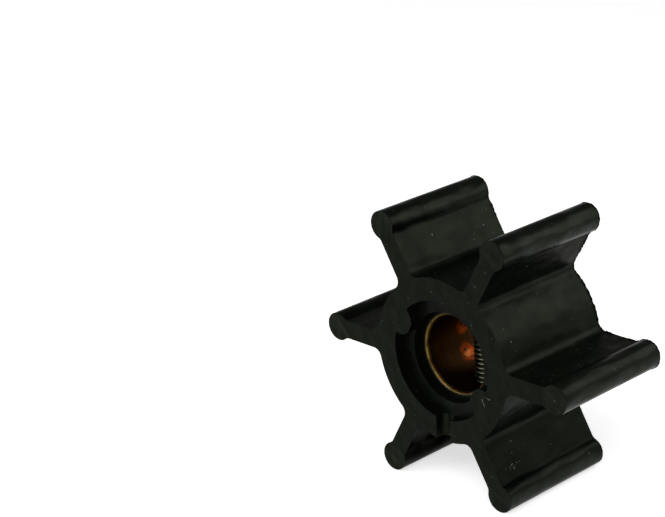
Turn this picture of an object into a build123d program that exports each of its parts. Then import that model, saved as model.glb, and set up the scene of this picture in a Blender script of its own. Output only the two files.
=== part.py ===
from build123d import *
import os

# Flexible pump impeller. A one-piece rubber moulding, a hub with six bulb-tipped blades, is bonded
# round a thin metal bush. A threaded drive screw crosses the bush and is what the shaft turns.
#
# Frame: the shaft axis is Y and the origin lies on it, halfway along the hub. The recessed front
# face looks to -Y. Two blades point down and out to each side of -Z, and the impeller rests on them.

# Driving dimensions, in millimetres and degrees

# Blades and hub
overall_dia = 50.8  # over opposite blade tips
width = 22.2  # along the shaft, the same for hub and blades
blade_count = 6
blade_thickness = 3.1
tip_swell = 0.8  # how far the tip bulb stands out past each side of its blade
tip_blend = 1.3  # radius where a blade runs into its bulb
hub_dia = 27.2
root_blend = 1.5  # radius where a blade runs into the hub

# Front recess, the half-round lugs on its wall, and the notch through its rim
recess_dia = 19.7
recess_depth = 1.9
lug_count = 2
lug_dia = 5.0
lug_angle = 150  # of the first lug, from +X towards +Z, halfway between two blades
notch_width = 3.0
notch_corner = 1.1  # radius along both sides of the notch floor

# Bush, and the bore through it
bore_dia = 12.7  # for a half-inch shaft
bush_wall = 0.65
bush_inset_front = 3.5  # from the front face down to the end of the bush
bush_inset_back = 0.6
bush_ledge = 0.5  # ring of rubber left open round each end of the bush
bore_chamfer = 0.2
land_front = 2.3  # stretch of full-fit bore at the front end
land_back = 4.0
relief_depth = 0.2  # how much wider the bore is between the two lands, on each side

# Drive screw
screw_dia = 4.83
screw_length = 18.0
screw_chamfer = 0.6

# Sizes that follow from these
tip_dia = blade_thickness + 2 * tip_swell
tip_centre = (overall_dia - tip_dia) / 2
bush_dia = bore_dia + 2 * bush_wall
ledge_dia = bush_dia + 2 * bush_ledge
face_front = -width / 2
face_back = width / 2
bush_front = face_front + bush_inset_front
bush_back = face_back - bush_inset_back
relief_front = bush_front + bore_chamfer + land_front
relief_back = bush_back - bore_chamfer - land_back
past = 1.0  # how far a cut runs out past the surface that it opens

os.makedirs("parts", exist_ok=True)

# Planes across the shaft: local x is X, local y is Z, and the normal looks to -Y, out of the front
front_plane = Plane.XZ.offset(-face_front)
back_plane = Plane.XZ.offset(-face_back)
mid_plane = Plane.XZ


# Drive screw: a rod with chamfered ends, standing across the shaft. Its length crosses the bush
# and ends inside the rubber, so neither end shows.
with BuildPart() as drive_screw:
    with BuildSketch(Plane.XY):
        Circle(screw_dia / 2)
    extrude(amount=screw_length / 2, both=True)
    screw_ends = drive_screw.faces().filter_by(Plane.XY)
    chamfer(screw_ends.edges(), length=screw_chamfer)
drive_screw.part.label = "drive_screw"


# Bush: half of its section, drawn in the XY plane, is turned about the shaft axis.
with BuildPart() as bush:
    with BuildSketch(Plane.XY):
        with Locations((bore_dia / 2, bush_front)):
            Rectangle(bush_wall, bush_back - bush_front, align=(Align.MIN, Align.MIN))
        mouths = vertices().group_by(Axis.X)[0]
        chamfer(mouths, length=bore_chamfer)
        with Locations((bore_dia / 2, relief_front)):
            Rectangle(relief_depth, relief_back - relief_front, align=(Align.MIN, Align.MIN), mode=Mode.SUBTRACT)
    revolve(axis=Axis.Y)
    # cross hole that the drive screw fills
    with BuildSketch(Plane.XY):
        Circle(screw_dia / 2)
    extrude(amount=bush_dia / 2 + past, both=True, mode=Mode.SUBTRACT)
bush.part.label = "bush"


# Rubber body: hub, blades and bulbs are one outline with every inner corner blended.
with BuildPart() as rubber_body:
    with BuildSketch(mid_plane) as outline:
        Circle(hub_dia / 2)
        with PolarLocations(0, blade_count):
            Rectangle(tip_centre, blade_thickness, align=(Align.MIN, Align.CENTER))
        with PolarLocations(tip_centre, blade_count):
            Circle(tip_dia / 2)
        bulb_corners = outline.vertices().group_by(SortBy.DISTANCE)[1]
        fillet(bulb_corners, radius=tip_blend)
        root_corners = outline.vertices().group_by(SortBy.DISTANCE)[0]
        fillet(root_corners, radius=root_blend)
    extrude(amount=width / 2, both=True)

    # front recess, with the lugs left standing on its wall up to the front face
    with BuildSketch(front_plane):
        Circle(recess_dia / 2)
        with PolarLocations(recess_dia / 2, lug_count, start_angle=lug_angle):
            Circle(lug_dia / 2, mode=Mode.SUBTRACT)
    extrude(amount=-recess_depth, mode=Mode.SUBTRACT)

    # notch from the recess down through the rim, its floor level with the recess floor
    with BuildSketch(Plane.XY.offset(-ledge_dia / 2)):
        with Locations((0, face_front + recess_depth)):
            Rectangle(notch_width, recess_depth + past, align=(Align.CENTER, Align.MAX))
        floor_corners = vertices().group_by(Axis.Y)[-1]
        fillet(floor_corners, radius=min(notch_corner, 0.4 * notch_width))
    extrude(amount=-(hub_dia - ledge_dia) / 2 - past, mode=Mode.SUBTRACT)

    # open ledge round each end of the bush
    with BuildSketch(front_plane):
        Circle(ledge_dia / 2)
    extrude(amount=-bush_inset_front, mode=Mode.SUBTRACT)
    with BuildSketch(back_plane):
        Circle(ledge_dia / 2)
    extrude(amount=bush_inset_back, mode=Mode.SUBTRACT)

    # seat of the bush, and the pockets that hold the ends of the drive screw
    with BuildSketch(mid_plane):
        Circle(bush_dia / 2)
    extrude(amount=width / 2 + past, both=True, mode=Mode.SUBTRACT)
    add(drive_screw.part, mode=Mode.SUBTRACT)
rubber_body.part.label = "rubber_body"


export_step(drive_screw.part, "parts/drive_screw.step")
export_step(bush.part, "parts/bush.step")
export_step(rubber_body.part, "parts/rubber_body.step")
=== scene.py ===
# %% [markdown]
# # A rubber pump impeller
#
# Inside a small boat's cooling pump a rubber wheel with six flexible blades turns on a slotted shaft.
# This lesson dresses the solid model of one such wheel. The solid model gives every size; here each
# piece gets the rounded edges, thread, moulding flaws and finishes that the solid leaves out.
#
# We start by loading the solid model as a frame. Its box is kept, so that we can show at the end that
# the dressed wheel has not grown.

# %% Load the frame
import math

import bmesh
import bpy
from mathutils import Matrix, Vector, noise


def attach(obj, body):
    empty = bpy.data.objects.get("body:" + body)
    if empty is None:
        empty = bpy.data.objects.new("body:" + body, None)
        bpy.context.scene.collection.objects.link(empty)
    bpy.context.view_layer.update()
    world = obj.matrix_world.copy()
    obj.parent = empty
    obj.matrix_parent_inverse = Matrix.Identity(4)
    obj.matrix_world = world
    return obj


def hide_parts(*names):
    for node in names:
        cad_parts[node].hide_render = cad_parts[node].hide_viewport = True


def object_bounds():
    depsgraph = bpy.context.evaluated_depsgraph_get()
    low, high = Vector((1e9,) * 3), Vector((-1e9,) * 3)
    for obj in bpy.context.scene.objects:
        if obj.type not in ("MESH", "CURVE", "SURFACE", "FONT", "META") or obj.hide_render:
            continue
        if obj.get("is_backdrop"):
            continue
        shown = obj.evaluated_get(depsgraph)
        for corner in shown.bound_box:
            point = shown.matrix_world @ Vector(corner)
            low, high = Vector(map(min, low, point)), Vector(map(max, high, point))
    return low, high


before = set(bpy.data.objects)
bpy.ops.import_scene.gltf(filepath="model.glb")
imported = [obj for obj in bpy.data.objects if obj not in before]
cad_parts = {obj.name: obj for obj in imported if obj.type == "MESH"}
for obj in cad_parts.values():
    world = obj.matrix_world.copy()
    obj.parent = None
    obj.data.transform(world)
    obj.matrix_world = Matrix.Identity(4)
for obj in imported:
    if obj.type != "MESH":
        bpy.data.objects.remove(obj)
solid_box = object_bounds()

mm = 0.001  # Blender works in metres here; the sizes below are in millimetres
solid_size = solid_box[1] - solid_box[0]
print("nodes:", sorted(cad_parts), "box in mm:", [round(side / mm, 2) for side in solid_size])

# %% [markdown]
# ## The camera
#
# The wheel is seen from the front right and from a little above, through a long lens, as small things
# usually are. A camera could be aimed with a constraint, but a few plain numbers say the same: where it
# stands, which way it looks, how far it leans and the lens on it. The wheel sits low and to the right
# of the middle of the view, so the camera looks past it rather than straight at it.

# %% Make the camera
camera_place = Vector((186.03, -198.89, 114.24)) * mm
camera_turn = math.radians(48.121)  # how far round from the front, to the right
camera_drop = math.radians(20.011)  # how far it looks down
camera_lean = math.radians(-3.783)  # how far it leans to one side
lens_length, film_width = 100.1, 36

looking = Vector((
    -math.sin(camera_turn) * math.cos(camera_drop),
    math.cos(camera_turn) * math.cos(camera_drop),
    -math.sin(camera_drop),
))
level = looking.cross(Vector((0, 0, 1))).normalized()
across = level * math.cos(camera_lean) + level.cross(looking) * math.sin(camera_lean)
above = across.cross(looking)
attitude = Matrix((across, above, -looking)).transposed().to_4x4()

camera = bpy.data.objects.new("camera", bpy.data.cameras.new("camera"))
camera.data.lens, camera.data.sensor_width = lens_length, film_width
camera.data.clip_start, camera.data.clip_end = 0.01, 20
camera.matrix_world = Matrix.Translation(camera_place) @ attitude
bpy.context.collection.objects.link(camera)
bpy.context.scene.camera = camera
bpy.context.scene.view_settings.view_transform = "Standard"
print("camera stands", round(camera_place.length / mm), "mm from the middle of the wheel")

# %% [markdown]
# ## Shader maths as plain expressions
#
# Rubber, brass and steel all need masks made from noise. Wiring those by hand is long, so two small
# classes do it. `Wire` is one output socket: sums and products of wires put the Math nodes in, and its
# `vector` method does the same for places. `Paint` is one material: its `node` method adds any other
# node from its type, its settings and what goes into it.

# %% Wire
class Wire:
    """An output socket that can be used in sums."""

    def __init__(self, paint, socket):
        self.paint, self.socket = paint, socket

    def maths(self, operation, *others):
        """A Math node with this wire as its first value."""
        return self.paint.node("ShaderNodeMath", {"operation": operation}, [self, *others])

    def vector(self, operation, *others, output="Vector"):
        """A Vector Math node with this wire as its first value."""
        settings = {"operation": operation}
        return self.paint.node("ShaderNodeVectorMath", settings, [self, *others], output)

    def part(self, axis):
        """X, Y or Z of a place or a way."""
        return self.paint.node("ShaderNodeSeparateXYZ", inputs=[self], output=axis)

    def also(self, output):
        """Another output of the node that this wire leaves."""
        return Wire(self.paint, self.socket.node.outputs[output])

    def __add__(self, other):
        return self.maths("ADD", other)

    def __mul__(self, other):
        return self.maths("MULTIPLY", other)

    def __sub__(self, other):
        return self.maths("SUBTRACT", other)

    def __rsub__(self, other):
        return self.paint.node("ShaderNodeMath", {"operation": "SUBTRACT"}, [other, self])

    __radd__, __rmul__ = __add__, __mul__


print("a wire can stand in a sum")

# %% Paint
class Paint:
    """The node tree of a material or a world, and the short way to fill it."""

    def __init__(self, owner):
        self.owner = owner
        owner.use_nodes = True
        self.tree = owner.node_tree

    def join(self, value, socket):
        """Links a wire to a socket, or sets a plain value there."""
        if isinstance(value, Wire):
            self.tree.links.new(value.socket, socket)
        else:
            socket.default_value = value

    def node(self, kind, settings=(), inputs=(), output=0):
        """Adds a node; inputs are a list, or a dictionary by socket name or number."""
        made = self.tree.nodes.new(kind)
        for name, value in dict(settings).items():
            setattr(made, name, value)
        for name, value in inputs.items() if isinstance(inputs, dict) else enumerate(inputs):
            self.join(value, made.inputs[name])
        return Wire(self, made.outputs[output])

    def blend(self, share, low, high):
        """A colour that goes from low to high as share goes from 0 to 1."""
        low, high = ((*colour, 1) if isinstance(colour, tuple) else colour for colour in (low, high))
        return self.node("ShaderNodeMix", {"data_type": "RGBA"}, {0: share, 6: low, 7: high}, 2)

    def between(self, value, low, high):
        """0 below low, 1 above high, with a soft step in the middle."""
        inputs = {"Value": value, "From Min": low, "From Max": high}
        return self.node("ShaderNodeMapRange", {"interpolation_type": "SMOOTHSTEP"}, inputs)

    def finish(self, **sockets):
        """Feeds the Principled shader; an underscore stands for a space in a socket's name."""
        shader = self.tree.nodes["Principled BSDF"]
        for name, value in sockets.items():
            self.join(value, shader.inputs[name.replace("_", " ")])


def new_paint(name):
    """A fresh material, ready to be filled."""
    return Paint(bpy.data.materials.new(name))


print("Paint is ready")

# %% [markdown]
# ## A white table and soft light
#
# The wheel lies on a white sheet that fills the view. White paint under strong lamps would wash the
# shadow out, so the sheet has a calm light on it and adds a glow of its own only where the lens sees
# it, straight or in a mirroring surface. The room round it is pale at the horizon and darker overhead,
# because dark rubber shows its roundness by what it mirrors. For the same reason the lamps are wide: a
# small one close by, behind the wheel on the right, draws the long highlights on the blades, and two
# broad ones in front light its faces.

# %% White wherever it is seen
def seen(paint):
    """1 for a ray from the lens, or one mirrored or let through by a surface; 0 for plain light."""
    camera_ray = paint.node("ShaderNodeLightPath", output="Is Camera Ray")
    passed_on = camera_ray.also("Is Glossy Ray").maths("MAXIMUM", camera_ray.also("Is Transmission Ray"))
    return camera_ray.maths("MAXIMUM", passed_on)


horizon_grey, overhead_grey = 0.75, 0.16

world = bpy.data.worlds.new("pale_room")
bpy.context.scene.world = world
room = Paint(world)
height = room.between(room.node("ShaderNodeTexCoord", output="Generated").part("Z"), 0.08, 0.32)
room_colour = room.blend(height, (horizon_grey,) * 3, (overhead_grey,) * 3)
room.join(room_colour, world.node_tree.nodes["Background"].inputs["Color"])
print("the room goes from", horizon_grey, "of white at the horizon to", overhead_grey, "overhead")

# %% The sheet it lies on
sheet_side = 6  # metres
floor_height = solid_box[0].z
bpy.ops.mesh.primitive_plane_add(size=sheet_side, location=(0, 0, floor_height))
sheet = bpy.context.object
sheet.name = "white_sheet"
card = new_paint("white_card")
card.finish(
    Base_Color=(0.85, 0.85, 0.85, 1),
    Roughness=0.9,
    Specular_IOR_Level=0.2,
    Emission_Color=(1, 1, 1, 1),
    Emission_Strength=0.6 * seen(card),
)
sheet.data.materials.append(card.owner)
sheet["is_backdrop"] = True
print("the sheet is at", round(floor_height / mm, 2), "mm")

# %% Soft lamps
def soft_lamp(name, place, size, power):
    """A lamp with a wide and a high side that faces the wheel; its wide side lies level."""
    lamp = bpy.data.objects.new(name, bpy.data.lights.new(name, "AREA"))
    lamp.data.shape, lamp.data.energy = "RECTANGLE", power
    lamp.data.size, lamp.data.size_y = size
    lamp.location = place
    lamp.rotation_euler = (-Vector(place)).to_track_quat("-Z", "Y").to_euler()
    lamp.visible_camera = False
    bpy.context.collection.objects.link(lamp)


soft_lamp("near_lamp", place=(0.067, 0.078, 0.066), size=(0.1, 0.076), power=0.053)
soft_lamp("left_lamp", place=(-0.55, -0.92, 0.6), size=(0.8, 0.8), power=6.4)
soft_lamp("right_lamp", place=(0.52, -0.78, 0.78), size=(0.8, 0.8), power=6.4)

# %% [markdown]
# ## The outline of the rubber
#
# Hub and blades are one moulding: the same outline runs the whole width of the wheel. Each blade swells
# to a round bulb at its tip and flares softly into the hub. The outline could be six blades and a disc
# joined with Booleans, but the flares between them are easiest to get right as arcs that touch, so we
# work out one half blade and mirror it. Every point keeps the direction that faces out of the rubber
# there, because the thin flash along the edges needs it later.

# %% Sizes of the rubber, and arcs
half_width = 22.2 / 2
blade_count = 6
bulb_reach = 25.4  # from the shaft's axis to the very tip
blade_half = 1.55  # half the thickness of a blade
bulb_radius = 2.35
bulb_blend = 1.3
hub_radius = 13.6
root_blend = 1.5
quarter, half_turn, full_turn = math.pi / 2, math.pi, 2 * math.pi


def arc(centre, radius, start, end, steps, hollow=False):
    """Points along an arc, without its last one, each with the way that faces out of the rubber."""
    points = []
    for step in range(steps):
        angle = start + (end - start) * step / steps
        out = Vector((math.cos(angle), math.sin(angle)))
        points.append((centre + out * radius, -out if hollow else out))
    return points


print("blades", 2 * blade_half, "mm thick,", round(2 * bulb_reach, 1), "mm over opposite tips")

# %% Half a blade, from the tip to halfway to the next one
def touching_arc(reach, height):
    """How far along a blade the centre of an arc lies that touches both its side and a circle."""
    return math.sqrt(reach**2 - height**2)


blend_height, root_height = blade_half + bulb_blend, blade_half + root_blend
bulb_centre = Vector((bulb_reach - bulb_radius, 0))
blend_back = touching_arc(bulb_radius + bulb_blend, blend_height)
blend_centre = bulb_centre + Vector((-blend_back, blend_height))
root_centre = Vector((touching_arc(hub_radius + root_blend, root_height), root_height))
neck_angle = math.atan2(*(blend_centre - bulb_centre).yx)
root_angle = math.atan2(*root_centre.yx)
half_way = half_turn / blade_count  # angle from the middle of a blade to halfway to the next
side_steps = 10

half_blade = arc(bulb_centre, bulb_radius, 0, neck_angle, 26)
half_blade += arc(blend_centre, bulb_blend, neck_angle - half_turn, -quarter, 7, hollow=True)
for step in range(side_steps):
    along = blend_centre.x + (root_centre.x - blend_centre.x) * step / side_steps
    half_blade.append((Vector((along, blade_half)), Vector((0, 1))))
half_blade += arc(root_centre, root_blend, -quarter, root_angle - half_turn, 9, hollow=True)
half_blade += arc(Vector((0, 0)), hub_radius, root_angle, half_way, 9)
print(len(half_blade), "points on half a blade")

# %% Mirror and repeat it
def turned(point, angle):
    """A point of the outline, turned about the shaft."""
    return Vector((
        point.x * math.cos(angle) - point.y * math.sin(angle),
        point.x * math.sin(angle) + point.y * math.cos(angle),
    ))


def flipped(point):
    """The same point on the other side of the blade."""
    return Vector((point.x, -point.y))


halfway_point = (turned(Vector((hub_radius, 0)), half_way), turned(Vector((1, 0)), half_way))
other_half = [(flipped(point), flipped(out)) for point, out in [halfway_point, *half_blade[:0:-1]]]
outline = []
for blade in range(blade_count):
    angle = 2 * half_way * blade
    outline += [(turned(point, angle), turned(out, angle)) for point, out in other_half + half_blade]
print(len(outline), "points on the whole outline")

# %% [markdown]
# ## From outline to moulding
#
# The outline is pushed out to the full width. Then the front recess, the ledge round the bush and the
# notch through the rim are cut away with Booleans, since that is how they are on the mould: pins and
# rings that hold the rubber back. Two half-round lugs are left standing on the wall of the recess.

# %% Turn outlines into solid meshes
def make_piece(name, mesh_data):
    """Hangs a finished bmesh, in millimetres, on a new object."""
    bmesh.ops.scale(mesh_data, vec=(mm, mm, mm), verts=mesh_data.verts)
    mesh = bpy.data.meshes.new(name)
    mesh_data.to_mesh(mesh)
    mesh_data.free()
    piece = bpy.data.objects.new(name, mesh)
    bpy.context.collection.objects.link(piece)
    return piece


def solid_between(name, loops):
    """A solid whose two ends are loops of as many places."""
    solid = bmesh.new()
    ends = [[solid.verts.new(spot) for spot in loop] for loop in loops]
    for spot in range(len(loops[0])):
        after = (spot + 1) % len(loops[0])
        solid.faces.new((ends[0][spot], ends[1][spot], ends[1][after], ends[0][after]))
    solid.faces.new(ends[0])
    solid.faces.new(ends[1][::-1])
    bmesh.ops.recalc_face_normals(solid, faces=solid.faces)
    return make_piece(name, solid)


def pushed_out(name, loop, front, back):
    """A loop of (x, z) points as a solid from one depth to the other along the shaft."""
    return solid_between(name, [[(point.x, depth, point.y) for point in loop] for depth in (front, back)])


body = pushed_out("rubber_body_moulding", [point for point, _ in outline], -half_width, half_width)
print("blank:", len(body.data.polygons), "faces")

# %% Sizes of the recess and of its lugs
recess_radius, recess_depth = 9.85, 1.9
lug_radius, lug_angles = 2.5, (150, 330)
lug_root = 0.3  # small radius where a lug meets the wall

# The shaft's axis, the centre of a lug and the centre of its root are the corners of a triangle, so
# the law of cosines gives how far round from the lug its root lies.
root_reach, lug_reach = recess_radius - lug_root, lug_radius + lug_root
root_cosine = (root_reach**2 + recess_radius**2 - lug_reach**2) / (2 * recess_radius * root_reach)
lug_spread = math.acos(root_cosine)
print("a lug takes", round(math.degrees(2 * lug_spread), 1), "degrees of the wall")


# %% The loop of the recess wall
def onward(start, end):
    """How far round it is from one angle on to another."""
    return (end - start) % full_turn


def lug_loop(angle):
    """The wall of the recess round one lug, from the root on its first side to that on its second."""
    sides = angle - lug_spread, angle + lug_spread
    centre = turned(Vector((recess_radius, 0)), angle)
    roots = [turned(Vector((root_reach, 0)), side) for side in sides]
    first, second = (math.atan2(*(root - centre).yx) for root in roots)
    leaving = second + half_turn
    points = arc(roots[0], lug_root, sides[0], sides[0] + onward(sides[0], first + half_turn), 4)
    points += arc(centre, lug_radius, first, first - onward(second, first), 24)
    points += arc(roots[1], lug_root, leaving, leaving + onward(leaving, sides[1]), 4)
    return points


wall = []
for angle in map(math.radians, lug_angles):
    plain = arc(Vector((0, 0)), recess_radius, angle + lug_spread, angle + half_turn - lug_spread, 56)
    wall += [point for point, _ in lug_loop(angle) + plain]
print(len(wall), "points round the wall of the recess")

# %% Cut the recess, the ledges and the seat
ledge_radius = 7.5
seat_radius = 7.0
bush_front, bush_back = -7.6, 10.5


def circle(radius, steps=128):
    """A round loop about the shaft."""
    return [point for point, _ in arc(Vector((0, 0)), radius, 0, full_turn, steps)]


def cut(piece, tool):
    """Takes the tool's shape out of the piece and throws the tool away."""
    step = piece.modifiers.new("cut", "BOOLEAN")
    step.operation, step.solver, step.object = "DIFFERENCE", "EXACT", tool
    shaped = piece.evaluated_get(bpy.context.evaluated_depsgraph_get())
    mesh = bpy.data.meshes.new_from_object(shaped)
    piece.modifiers.remove(step)
    piece.data = mesh
    bpy.data.objects.remove(tool)


# every tool runs out a little past the rubber that it opens
cut(body, pushed_out("seat_tool", circle(seat_radius), -half_width - 2, half_width + 2))
cut(body, pushed_out("recess_tool", wall, -half_width - 1, -half_width + recess_depth))
cut(body, pushed_out("front_ledge_tool", circle(ledge_radius), -half_width - 1.5, bush_front))
cut(body, pushed_out("back_ledge_tool", circle(ledge_radius), bush_back, half_width + 1.5))
print("after four cuts:", len(body.data.polygons), "faces")

# %% Cut the notch
notch_half, notch_corner = 1.5, 1.1
notch_floor = -half_width + recess_depth - 0.01  # a hair short of the recess floor, not level with it
notch_start, notch_end = -9.6, -15.0  # below the shaft, from inside the wall out past the rim


def notch_section(steps=8):
    """Places across the notch: its open side, then the two rounded corners of its floor."""
    side, low = notch_half - notch_corner, notch_floor - notch_corner
    section = [(-notch_half, -half_width - 1), (notch_half, -half_width - 1)]
    angles = [quarter * step / steps for step in range(steps + 1)]
    bend = [(notch_corner * math.cos(angle), notch_corner * math.sin(angle)) for angle in angles]
    section += [(side + level, low + deep) for level, deep in bend]
    section += [(-side - deep, low + level) for level, deep in bend]
    return section


notch_loops = [[(x, y, z) for x, y in notch_section()] for z in (notch_start, notch_end)]
cut(body, solid_between("notch_tool", notch_loops))
print("after the notch:", len(body.data.polygons), "faces")

# %% [markdown]
# ## Soft edges
#
# Rubber never comes out of a mould with a knife edge. A Bevel modifier would round everything that is
# sharper than a given angle. Doing the same in code changes the mesh itself, so that the flash of the
# next step can be added to edges that are round already.

# %% Round every sharp edge
edge_radius = 0.08


def round_edges(piece, radius, steps=3, sharper_than=50):
    """Rounds the edges of a piece that turn by more than an angle, and says how many they are."""
    shape = bmesh.new()
    shape.from_mesh(piece.data)
    bmesh.ops.remove_doubles(shape, verts=shape.verts, dist=0.004 * mm)
    inner = [edge for edge in shape.edges if len(edge.link_faces) == 2]
    sharp = [edge for edge in inner if edge.calc_face_angle(0) > math.radians(sharper_than)]
    bmesh.ops.bevel(
        shape, geom=sharp, affect="EDGES", offset=radius * mm, offset_type="OFFSET",
        segments=steps, profile=0.5, clamp_overlap=True,
    )
    shape.to_mesh(piece.data)
    shape.free()
    return len(sharp)


rounded = round_edges(body, edge_radius)
print("rounded", rounded, "edges; the moulding has", len(body.data.polygons), "faces")

# %% [markdown]
# ## Flash
#
# Where the halves of a mould meet, rubber creeps out into a thin fin, and trimming it leaves a ragged
# edge. The fin could be faked with a bump, but it shows against the white sheet, so it is a real strip:
# small steps along the outline, with a height that comes and goes. Two scales of noise set it, one for
# where the fin is left and one for its torn edge. The back edge has it all round and the front edge
# only on the bulbs, and where the height comes to nothing no fin is made.

# %% How high the fin stands
flash_step = 0.25
bulbs_from = 20  # points of the outline farther from the shaft than this are on a bulb
back_flash, back_bulb_flash, front_bulb_flash = 0.38, 0.2, 0.1  # the most that it stands out


def even_steps(loop, spacing):
    """The same outline in even small steps; every point keeps the way that faces out."""
    points = []
    for (here, out), (there, next_out) in zip(loop, loop[1:] + loop[:1]):
        count = max(1, round((there - here).length / spacing))
        for step in range(count):
            share = step / count
            points.append((here.lerp(there, share), out.lerp(next_out, share).normalized()))
    return points


def flash_height(point, tallest, seed):
    """How far the fin stands out at one place: nothing, or up to about the tallest."""
    where = Vector((point.x, point.y, seed))
    left_over = min(max(0.6 + 1.6 * noise.noise(where * 0.23), 0), 1)
    return tallest * left_over * (0.6 + 0.7 * noise.noise(where * 3))


flash_line = even_steps(outline, flash_step)
print(len(flash_line), "steps of flash round one edge")


# %% Make the fin
def fin_row(point, out, height, edge):
    """Three places across the fin: its root on the side, its torn edge, and its root on the end."""
    row = []
    for stands_out, below_end in ((-0.02, 0.22), (height, 0.07), (-0.2, 0.005)):
        spot = point + out * stands_out
        row.append(Vector((spot.x, math.copysign(half_width - below_end, edge), spot.y)) * mm)
    return row


def add_flash(piece, edge, tallest, on_bulbs):
    """Adds a fin along one end of the outline, with another tallest height on the bulbs."""
    shape = bmesh.new()
    shape.from_mesh(piece.data)
    rows = []
    for point, out in flash_line:
        height = flash_height(point, tallest if point.length < bulbs_from else on_bulbs, edge)
        row = fin_row(point, out, height, edge)
        rows.append([shape.verts.new(spot) for spot in row] if height > 0 else None)
    fin = []
    for row, after in zip(rows, rows[1:] + rows[:1]):
        if row and after:
            fin.append(shape.faces.new((row[0], row[1], after[1], after[0])))
            fin.append(shape.faces.new((row[1], row[2], after[2], after[1])))
    if edge > 0:
        bmesh.ops.reverse_faces(shape, faces=fin)
    shape.to_mesh(piece.data)
    shape.free()
    return len(fin)


back_faces = add_flash(body, half_width, back_flash, back_bulb_flash)
front_faces = add_flash(body, -half_width, 0, front_bulb_flash)
print("flash:", back_faces, "faces at the back and", front_faces, "at the front")

# %% [markdown]
# ## Fit the moulding to the frame
#
# Flash may not make the wheel any bigger than the solid says, so what stands past the solid's box is
# pushed back to it. Smooth shading alone would make the flat faces look pillowed; weighted normals keep
# them flat right up to their rounded rims. Then the moulding takes the solid's place: it rides on the
# same body and hides the solid's rubber.

# %% Keep it inside the solid's box and smooth it
def smooth(piece):
    """Smooth shading that leaves flat faces flat."""
    piece.data.polygons.foreach_set("use_smooth", [True] * len(piece.data.polygons))
    piece.modifiers.new("flat_faces", "WEIGHTED_NORMAL").weight = 100


pushed_back = 0
for vertex in body.data.vertices:
    kept = [min(max(vertex.co[axis], solid_box[0][axis]), solid_box[1][axis]) for axis in range(3)]
    pushed_back += (vertex.co - Vector(kept)).length > 0.001 * mm
    vertex.co = kept
smooth(body)
print("the moulding has", len(body.data.polygons), "faces;", pushed_back, "points pushed back")

# %% Put it in the solid's place
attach(body, "root")
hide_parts("rubber_body")
print(body.name, "stands for the solid's rubber")

# %% [markdown]
# ## The bush
#
# A thin turned tube of brass is moulded into the hub. It is one profile turned about the shaft, so a
# lathe in code is the shortest way: a profile of radius and depth, and a ring of points for each step
# round. The mouth of the bore is rounded, and the middle of the bore is relieved by a hair.

# %% The profile of the bush
bore_radius = 6.35
lip_width, lip_depth = 0.38, 0.55  # the rounded mouth of the bore
rim_radius = 0.1  # on the outer edge
front_land, back_land = 2.5, 4.2  # full-fit bore at each end
relief, relief_run = 0.2, 0.1  # how much wider the middle is, and over what length it widens


def mouth(depth, way):
    """The rounded lip of one end of the bush, from the bore out to its outer edge."""
    lip = []
    for step in range(9):
        angle = quarter * step / 8
        radius = bore_radius + lip_width - lip_width * math.cos(angle)
        lip.append((radius, depth + way * (lip_depth - lip_depth * math.sin(angle))))
    for step in range(4):
        angle = quarter * step / 3
        radius = seat_radius - rim_radius + rim_radius * math.sin(angle)
        lip.append((radius, depth + way * (rim_radius - rim_radius * math.cos(angle))))
    return lip


land_front, land_back = bush_front + front_land, bush_back - back_land
bore = [
    (bore_radius, land_back),
    (bore_radius + relief, land_back - relief_run),
    (bore_radius + relief, land_front + relief_run),
    (bore_radius, land_front),
]
bush_profile = mouth(bush_front, 1) + mouth(bush_back, -1)[::-1] + bore
print(len(bush_profile), "points on the bush's profile")


# %% Turn the bush
def turned_piece(name, profile, steps=160):
    """Spins a closed profile of (radius, depth) points about the shaft."""
    solid = bmesh.new()
    rings = []
    for step in range(steps):
        angle = full_turn * step / steps
        places = [(radius * math.cos(angle), depth, radius * math.sin(angle)) for radius, depth in profile]
        rings.append([solid.verts.new(spot) for spot in places])
    for step in range(steps):
        here, there = rings[step], rings[(step + 1) % steps]
        for spot in range(len(profile)):
            after = (spot + 1) % len(profile)
            solid.faces.new((here[spot], here[after], there[after], there[spot]))
    bmesh.ops.recalc_face_normals(solid, faces=solid.faces)
    return make_piece(name, solid)


bush = turned_piece("bush_turned", bush_profile)
print("bush:", len(bush.data.polygons), "faces")

# %% Drill it across for the screw
screw_radius = 2.415
drill_radius, drill_length = screw_radius + 0.02, 20

drill = bmesh.new()
bmesh.ops.create_cone(
    drill, cap_ends=True, segments=64, radius1=drill_radius, radius2=drill_radius, depth=drill_length
)
cut(bush, make_piece("drill", drill))
smooth(bush)
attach(bush, "root")
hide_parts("bush")
print("bush with its cross hole:", len(bush.data.polygons), "faces")

# %% [markdown]
# ## The drive screw
#
# A length of threaded rod crosses the bore; the slot in the pump's shaft straddles it. A thread can be
# faked with a bump, but this one shows its teeth against the dark bore, so it is real: points are laid
# along the screw line itself, so that the crest and the root are clean lines and not steps.

# %% Lay the thread
thread_pitch = 0.79375
thread_depth = 0.54
screw_half = 9.0
# one tooth to the next: how far along the rod, and how deep under the crest
thread_section = [
    (-0.045, 0), (0.045, 0), (0.085, 0.05), (0.35, 0.51), (0.397, thread_depth), (0.444, 0.51), (0.709, 0.05)
]


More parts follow.
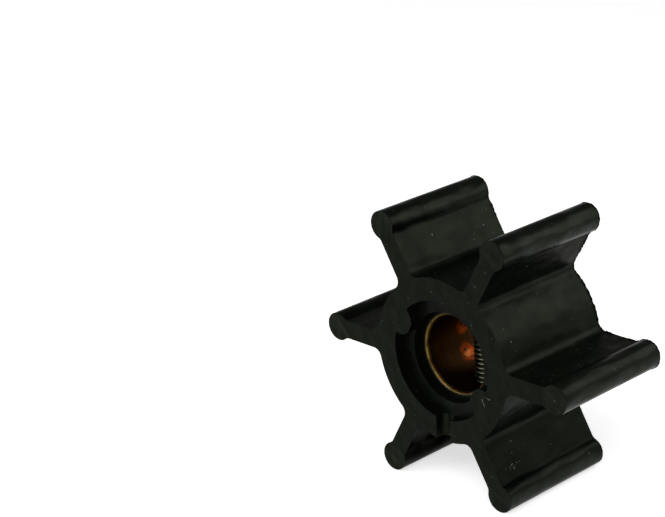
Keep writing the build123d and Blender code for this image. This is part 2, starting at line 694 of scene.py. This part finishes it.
def threaded_rod(steps=72):
    """A right-hand thread about the upright axis, longer than the rod, to be trimmed at both ends."""
    rod = bmesh.new()
    turns = int(2 * screw_half / thread_pitch) + 4
    lines = []
    for step in range(turns * steps + 1):
        angle = full_turn * step / steps
        rise = thread_pitch * (step / steps - turns // 2)
        section = [(screw_radius - depth, rise + along) for along, depth in thread_section]
        places = [(radius * math.cos(angle), radius * math.sin(angle), height) for radius, height in section]
        lines.append([rod.verts.new(spot) for spot in places])
    for step in range(turns * steps):
        here, there = lines[step], lines[step + 1]
        for spot in range(len(thread_section) - 1):
            rod.faces.new((here[spot], there[spot], there[spot + 1], here[spot + 1]))
        if step + steps < turns * steps:
            above_here, above_there = lines[step + steps], lines[step + 1 + steps]
            rod.faces.new((here[-1], there[-1], above_there[0], above_here[0]))
    return rod


rod = threaded_rod()
print("thread before trimming:", len(rod.faces), "faces")

# %% Trim it to length and close its ends
for end in (-1, 1):
    bmesh.ops.bisect_plane(
        rod, geom=[*rod.verts, *rod.edges, *rod.faces],
        plane_co=(0, 0, end * screw_half), plane_no=(0, 0, end), clear_outer=True,
    )
bmesh.ops.holes_fill(rod, edges=[edge for edge in rod.edges if edge.is_boundary], sides=0)
bmesh.ops.recalc_face_normals(rod, faces=rod.faces)
screw = make_piece("drive_screw_threaded", rod)
smooth(screw)
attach(screw, "root")
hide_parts("drive_screw")
print("screw:", len(screw.data.polygons), "faces")

# %% [markdown]
# ## Masks for the finishes
#
# A finish is made of masks: numbers from 0 to 1 that say where a stain, a worn spot or a scratch is.
# They could be painted by hand on an image, but then the piece would have to be unwrapped. Here they are
# worked out from the place itself, in millimetres, with noise for what is everywhere and a few chosen
# places for the marks that catch the eye.

# %% Places, noise and distances
def place_on(paint):
    """Where a point of the piece lies, in millimetres."""
    from_object = paint.node("ShaderNodeTexCoord", output="Object")
    return paint.node("ShaderNodeVectorMath", {"operation": "SCALE"}, {0: from_object, "Scale": 1 / mm})


def noise_at(where, scale, detail=2.0):
    """Soft noise, about 0.5 on average; the scale is in waves to a millimetre."""
    inputs = {"Vector": where, "Scale": scale, "Detail": detail}
    return where.paint.node("ShaderNodeTexNoise", inputs=inputs)


def shaken(where, scale, detail, amount):
    """Places shifted by noise, so that what is drawn straight on them comes out crooked."""
    shift = noise_at(where, scale, detail).also("Color").vector("SUBTRACT", (0.5, 0.5, 0.5))
    return where.vector("ADD", shift.vector("MULTIPLY", (amount,) * 3))


def distance(where, centre):
    """How far a place is from a fixed one."""
    return where.vector("DISTANCE", centre, output="Value")


def bump(height, strength, deepest, over=None):
    """A relief whose depth is in millimetres; it may lie over another one."""
    inputs = {"Strength": strength, "Distance": deepest * mm, "Height": height}
    if over is not None:
        inputs["Normal"] = over
    return height.paint.node("ShaderNodeBump", inputs=inputs)


print("places are in millimetres:", round(1 / mm), "to Blender's metre")

# %% Straight marks
def stroke(offset, way, solid, reach, width):
    """1 on a straight line and 0 beside it; it keeps its strength over the solid share of its reach."""
    paint = offset.paint
    along = offset.vector("DOT_PRODUCT", way, output="Value").maths("ABSOLUTE")
    beside = offset.vector("CROSS_PRODUCT", way).vector("LENGTH", output="Value")
    return (1 - paint.between(along, solid * reach, reach)) * (1 - paint.between(beside, 0.4 * width, width))


def marks(where, scale, length, width, share, flat=(1, 1, 1)):
    """Short marks, at most one in a cell of a Voronoi pattern, and none in some cells."""
    paint = where.paint
    centre = paint.node("ShaderNodeTexVoronoi", inputs={"Vector": where, "Scale": scale}, output="Position")
    cell_colour = centre.also("Color")
    way = cell_colour.vector("SUBTRACT", (0.5, 0.5, 0.5)).vector("MULTIPLY", flat).vector("NORMALIZE")
    chance = paint.node("ShaderNodeSeparateColor", inputs=[cell_colour], output="Blue")
    mark = stroke(where.vector("SUBTRACT", centre), way, 0.6, length, width)
    return mark * paint.between(chance, 1 - share, 1.02 - share)


def scratch(where, start, end, width):
    """One scratch between two places."""
    start, end = Vector(start), Vector(end)
    offset = where.vector("SUBTRACT", tuple((start + end) / 2))
    return stroke(offset, tuple((end - start).normalized()), 0.8, (end - start).length / 2, width)


print("marks come from cells of noise, scratches from two places each")

# %% [markdown]
# ## The rubber's finish
#
# Black moulded rubber is a very dark grey-green. Part of its shine is slick and part is dull, so two
# skins are mixed: a slick film over a dull one. Their share could be one number for the whole wheel, but
# the film is thinner in places: on the necks between blades and bulbs, on the sides of the blades that
# look down, and on one matt patch. The bulbs shine most where we look along them. Soft waves in the
# surface bend the highlights, most of all on the bulbs.

# %% Rubber: where a point lies
rubber = new_paint("moulded_rubber")
place = place_on(rubber)
depth = place.part("Y")
from_shaft = place.vector("MULTIPLY", (1, 0, 1)).vector("LENGTH", output="Value")
upright = rubber.node("ShaderNodeTexCoord", output="Normal").part("Z")  # 1 looks up, -1 down
facing = rubber.node("ShaderNodeLayerWeight", inputs={"Blend": 0.5}, output="Facing")

behind_face = rubber.between(depth, -11.05, -10.8)  # 0 on the front face, 1 on the sides
before_back = 1 - rubber.between(depth, 10.8, 11.05)
on_bulb = rubber.between(from_shaft, 20.5, 22.5)
edge_on = rubber.between(facing, 0.58, 0.95)
print("rubber has", len(rubber.tree.nodes), "nodes so far")

# %% Rubber: where the film is thin
necks = rubber.between(from_shaft, 20.7, 21.2) * (1 - rubber.between(from_shaft, 21.8, 22.8))
necks = necks * behind_face * before_back

outer_blade = rubber.between(from_shaft, 16, 19)
looks_down = 1 - rubber.between(upright, -0.6, -0.15)
under = looks_down * (1 - on_bulb) * (0.35 + 0.65 * outer_blade)

stretched = place.vector("MULTIPLY", (1, 0.6, 1))  # longer along the shaft
matt_middle = (-8.5, -3.5, -17.5)
matt = 1 - rubber.between(distance(stretched, matt_middle), 5, 9)
matt = matt * behind_face * (1 - rubber.between(from_shaft, 22.8, 24.5))

blotches = rubber.between(noise_at(stretched, 0.42, 3), 0.3, 0.7)
dullness = (
    0.69
    + 0.14 * under
    + 0.2 * matt
    - 0.08 * on_bulb
    - 0.13 * blotches * behind_face
    + 0.16 * necks
    + edge_on * (0.16 - 0.71 * on_bulb)
)
print("the matt patch is", round(Vector(matt_middle).length, 1), "mm from the middle of the wheel")

# %% [markdown]
# ## Dust, lint and scratches
#
# A wheel that has been handled carries pale specks, short fibres and a few scratches. Each could be a
# tiny mesh, but they have no thickness to speak of, so they are masks in the skin's colour. Specks and
# fibres may lie anywhere; the scratches that catch the eye are placed one by one.

# %% Rubber: dust and lint
crooked = shaken(place, 1.3, 3, 0.9)
ragged = shaken(place, 6, 2, 0.2)
level_places = crooked.vector("MULTIPLY", (1, 0, 1))  # the same all the way along the shaft

dust_here = rubber.between(noise_at(place, 0.9), 0.3, 0.7)
dust = marks(ragged, scale=0.7, length=0.2, width=0.14, share=0.12) * dust_here
dust = dust + marks(ragged, scale=1.2, length=0.12, width=0.09, share=0.2) * dust_here * 0.4

lint = marks(level_places, scale=0.3, length=0.8, width=0.06, share=0.3, flat=(1, 0, 1)) * 0.3
lint = lint + marks(crooked, scale=0.5, length=0.8, width=0.06, share=0.3) * 0.6
print("rubber has", len(rubber.tree.nodes), "nodes so far")

# %% Rubber: scuffs on a blade, and scratches
scuff_middle = (10.9, -7.6, -15.8)
scuff_lines = (
    ((10.7, -8.1, -15.5), (10.9, -7.2, -15.8)),
    ((11.0, -8.1, -15.9), (10.8, -7.2, -15.5)),
    ((11.4, -7.7, -16.6), (11.0, -6.7, -16.0)),
    ((10.9, -6.7, -15.7), (10.9, -5.5, -15.8)),
)
scratch_lines = (
    ((8.6, -11.1, -3.5), (10.2, -11.1, -3.6)),
    ((1.1, -11.1, -12.0), (2.6, -11.1, -12.1)),
    ((-6.6, -11.1, 9.3), (-6.2, -11.1, 8.5)),
    ((-7.9, -11.1, 9.2), (-7.4, -11.1, 9.4)),
    ((10.3, -4.2, 8.9), (10.6, -3.7, 8.4)),
)

scuffed = 1 - rubber.between(distance(place, scuff_middle), 0.9, 1.5)
scuff = marks(crooked, scale=2.0, length=0.5, width=0.06, share=0.5) * scuffed * 0.5
for start, end in scuff_lines:
    scuff = scuff + scratch(crooked, start, end, 0.09) * 0.8
scratches = scratch(ragged, (8.5, -11.1, -3.9), (9.1, -11.1, -5.1), 0.1) * 0.6
for start, end in scratch_lines:
    scratches = scratches + scratch(crooked, start, end, 0.08) * 0.5
print(len(scuff_lines), "scuffs and", len(scratch_lines) + 1, "scratches")

# %% Rubber: colour and relief
deep_green, soft_green = (0.0021, 0.0027, 0.0017), (0.0031, 0.0039, 0.0024)
# painted shade: a darker colour for the hollow necks between the blades and their bulbs
neck_painted_shade = (0.0008, 0.001, 0.0008)
dust_grey = (0.17, 0.18, 0.145)

patches = noise_at(place, 0.22)
skin = rubber.blend(rubber.between(patches, 0.35, 0.65), deep_green, soft_green)
# painted shade: the necks between blades and bulbs are darkened where their hollow lies in shade
skin = rubber.blend(0.5 * necks, skin, neck_painted_shade)
pale = (dust + lint + scuff + scratches).maths("MINIMUM", 1)
skin = rubber.blend(pale, skin, dust_grey)

waves = noise_at(place.vector("MULTIPLY", (1, 0.5, 1)), 0.36, 1) - 0.5
waves = waves * (1 + 0.8 * rubber.between(from_shaft, 19.5, 21.5))
grain = noise_at(place, 7, 4)
draw_marks = noise_at(place.vector("MULTIPLY", (1, 0.3, 1)), 1.3, 3)
relief_map = grain * 0.3 + draw_marks * 0.3 + dust * 0.8
surface = bump(relief_map, strength=0.35, deepest=0.03, over=bump(waves, strength=1.0, deepest=0.3))
print("rubber has", len(rubber.tree.nodes), "nodes so far")

# %% Rubber: a slick film over a dull skin
rubber.finish(
    Base_Color=skin,
    Roughness=0.29 + 0.08 * grain + 0.05 * patches,
    Specular_IOR_Level=0.26,
    Specular_Tint=(0.8, 1, 0.64, 1),
    Normal=surface,
)
slick = Wire(rubber, rubber.tree.nodes["Principled BSDF"].outputs[0])
dull_inputs = {"Base Color": skin, "Roughness": 0.9, "Specular IOR Level": 0.0, "Normal": surface}
dull = rubber.node("ShaderNodeBsdfPrincipled", inputs=dull_inputs)
skins = rubber.node("ShaderNodeMixShader", inputs=[dullness, slick, dull])
rubber.join(skins, rubber.tree.nodes["Material Output"].inputs["Surface"])
print("rubber has", len(rubber.tree.nodes), "nodes")

# %% [markdown]
# ## The ground faces and the recess
#
# The two end faces were ground flat after moulding, and the recess was formed by a rougher part of the
# mould, so both shine less than the blades. They could be pieces of their own, but they are the same
# rubber: two copies of its material, each with a weaker shine, go on the faces that need them.

# %% Rubber: duller copies
ground = Paint(rubber.owner.copy())
ground.finish(Specular_IOR_Level=0.195)
recess_rubber = Paint(rubber.owner.copy())
recess_rubber.finish(Specular_IOR_Level=0.14, Specular_Tint=(0.9, 0.96, 0.95, 1))
for coat in (rubber, ground, recess_rubber):
    body.data.materials.append(coat.owner)

front_ground, back_ground = -11.05 * mm, 10.85 * mm  # what lies past these was ground
recess_reach = (recess_radius + 0.1) * mm
for face in body.data.polygons:
    middle = face.center
    if middle.y < front_ground or middle.y > back_ground:
        face.material_index = 1
    elif middle.y < 0 and math.hypot(middle.x, middle.z) < recess_reach:
        face.material_index = 2
kinds = [face.material_index for face in body.data.polygons]
print("moulded, ground and recess faces:", [kinds.count(kind) for kind in range(3)])

# %% [markdown]
# ## Brass
#
# The bush was turned on a lathe and has tarnished since. Its end ring is dull but for one paler stretch.
# Down the bore it has gone brown like an old coin, with fine rings left by the tool and two orange spots
# that are partly wear where the shaft has rubbed and partly painted reflection, and one of them has a
# painted highlight in its middle. Two materials could meet at the mouth, but one whose masks follow the
# depth leaves no seam.

# %% Brass: the end ring
brass = new_paint("turned_brass")
place = place_on(brass)
depth = place.part("Y")
in_bore = brass.between(depth, -7.05, -6.9)
shaft_square = place.part("X").maths("POWER", 2) + place.part("Z").maths("POWER", 2)
stain = noise_at(place, 0.5, 4)

lip_dark, lip_gold = (0.08, 0.044, 0.01), (0.21, 0.125, 0.03)
ring_pale, ring_dull = (0.075, 0.07, 0.055), (0.035, 0.035, 0.022)
paler_stretch = (-3.0, -7.6, -6.1)

lip = brass.blend(brass.between(stain, 0.35, 0.65), lip_dark, lip_gold)
ring = brass.blend(brass.between(distance(place, paler_stretch), 1.2, 2.4), ring_pale, ring_dull)
end_ring = brass.blend(brass.between(shaft_square, 6.52**2, 6.68**2), lip, ring)
print("brass has", len(brass.tree.nodes), "nodes so far")

# %% Brass: the bore
stain_dark, stain_light = (0.024, 0.012, 0.006), (0.042, 0.02, 0.01)
deep_brown = (0.03, 0.014, 0.0065)
ring_brown = (0.06, 0.03, 0.012)
# the orange spots are partly wear and partly painted reflection; the bright middle of one is a painted
# highlight
worn_orange_and_painted_reflection, painted_highlight_orange = (0.22, 0.036, 0.006), (0.4, 0.115, 0.03)
worn_and_painted_reflection_spots = (((-6.3, 1.0, 0.5), 1.8), ((-5.2, 1.0, -3.8), 2.3))  # where, and how far it reaches
painted_highlight_middle = (-5.12, 0.45, -3.9)

lathe_inputs = {"W": depth, "Scale": 6, "Detail": 5}
lathe_rings = brass.node("ShaderNodeTexNoise", {"noise_dimensions": "1D"}, lathe_inputs)
brown = brass.blend(stain, stain_dark, stain_light)
brown = brass.blend(brass.between(depth, -3.5, -1.5), brown, deep_brown)
brown = brass.blend(brass.between(lathe_rings, 0.58, 0.7), brown, ring_brown)

# orange spots: partly worn brass, partly painted reflection of light in the bore
wear_and_painted_reflection = 0
for spot, reach in worn_and_painted_reflection_spots:
    wear_and_painted_reflection = wear_and_painted_reflection + (1 - brass.between(distance(place, spot), reach * 0.4, reach))
wear_and_painted_reflection = wear_and_painted_reflection * brass.between(noise_at(place, 0.9, 4), 0.34, 0.6)
brown = brass.blend(wear_and_painted_reflection, brown, worn_orange_and_painted_reflection)

# painted highlight: the bright middle of the lower orange spot
away = distance(place.vector("MULTIPLY", (1, 0.6, 1)), painted_highlight_middle)
ragged_away = away + 1.2 * (noise_at(place, 1.3, 4) - 0.5)
brown = brass.blend(1 - brass.between(ragged_away, 0.2, 0.8), brown, painted_highlight_orange)
print("brass has", len(brass.tree.nodes), "nodes so far, with", len(worn_and_painted_reflection_spots), "worn spots")

# %% Brass: finish
brass.finish(
    Base_Color=brass.blend(in_bore, end_ring, brown),
    Metallic=1.0,
    Roughness=0.42 - 0.05 * in_bore + 0.1 * stain,
    Specular_Tint=(0.6, 0.42, 0.25, 1),
    Normal=bump(lathe_rings, strength=0.5, deepest=0.03),
)
bush.data.materials.append(brass.owner)
print("brass has", len(brass.tree.nodes), "nodes")

# %% [markdown]
# ## Steel
#
# The screw is plain dull steel. Its thread is painted darker in the roots, as painted shade, and paler
# on the crests, as a painted highlight. The two could be picked out face by face; how far a point is from
# the screw's axis tells them apart without any picking.

# %% Steel
steel = new_paint("dull_steel")
place = place_on(steel)
# painted shade in the thread's roots and painted highlight on its crests
root_painted_shade, crest_painted_highlight = (0.02, 0.018, 0.013), (0.17, 0.18, 0.12)

axis_square = place.part("X").maths("POWER", 2) + place.part("Y").maths("POWER", 2)
# painted shade and painted highlight: darker towards the roots, paler towards the crests
metal = steel.blend(steel.between(axis_square, 2.0**2, 2.38**2), root_painted_shade, crest_painted_highlight)
steel.finish(
    Base_Color=metal,
    Metallic=1.0,
    Roughness=0.22 + 0.2 * noise_at(place, 1.4, 4),
    Normal=bump(noise_at(place, 9, 3), strength=0.4, deepest=0.02),
)
screw.data.materials.append(steel.owner)
print("steel has", len(steel.tree.nodes), "nodes")

# %% [markdown]
# ## Check the size and finish
#
# The dressed wheel has to fill the same box as the solid one. Both boxes are printed.

# %% Sizes and the end
dressed_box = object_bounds()
dressed_size = dressed_box[1] - dressed_box[0]
print("solid in mm:", [round(side / mm, 3) for side in solid_size])
print("dressed in mm:", [round(side / mm, 3) for side in dressed_size])
